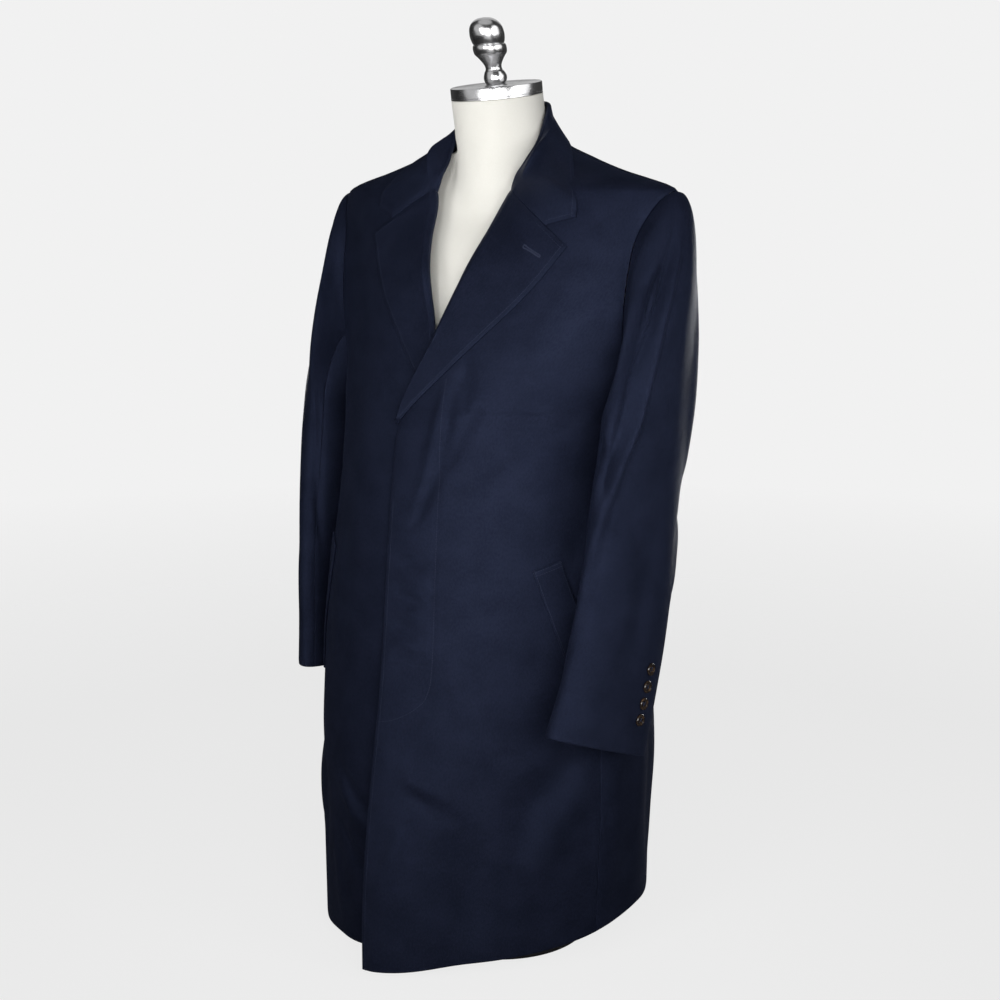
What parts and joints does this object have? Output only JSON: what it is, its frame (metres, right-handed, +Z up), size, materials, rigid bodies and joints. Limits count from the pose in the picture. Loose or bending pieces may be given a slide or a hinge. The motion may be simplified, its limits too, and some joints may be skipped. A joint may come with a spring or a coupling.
{
  "type": "wool overcoat on a limbless tailor's dress form with a stand",
  "caption": "Knee-length single-breasted wool overcoat with notched lapels and a hidden fastening, worn by a limbless dress form on a short pole and round base.",
  "frame": {"origin": "centre of the underside of the round base", "axes": "+Z up; the coat's front faces -Y; the wearer's left is +X"},
  "size_m": [0.5613, 0.3901, 1.1585],
  "materials": {
    "navy_wool": "fine twill wool with a soft nap",
    "dark_horn": "polished dark horn",
    "form_linen": "smooth cream linen",
    "polished_metal": "polished",
    "black_enamel": "satin enamel"
  },
  "bodies": {
    "root": {"left_front": "navy_wool", "right_front": "navy_wool", "left_back": "navy_wool", "right_back": "navy_wool", "left_lapel": "navy_wool", "right_lapel": "navy_wool", "collar_fall": "navy_wool", "collar_stand": "navy_wool", "left_top_sleeve": "navy_wool", "left_under_sleeve": "navy_wool", "right_top_sleeve": "navy_wool", "right_under_sleeve": "navy_wool", "left_pocket_welt": "navy_wool", "right_pocket_welt": "navy_wool", "left_cuff_button_1": "dark_horn", "left_cuff_button_2": "dark_horn", "left_cuff_button_3": "dark_horn", "left_cuff_button_4": "dark_horn", "right_cuff_button_1": "dark_horn", "right_cuff_button_2": "dark_horn", "right_cuff_button_3": "dark_horn", "right_cuff_button_4": "dark_horn", "form_torso": "form_linen", "neck_cap": "polished_metal", "neck_finial": "polished_metal", "stand_pole": "black_enamel", "stand_base": "black_enamel"}
  },
  "joints": []
}
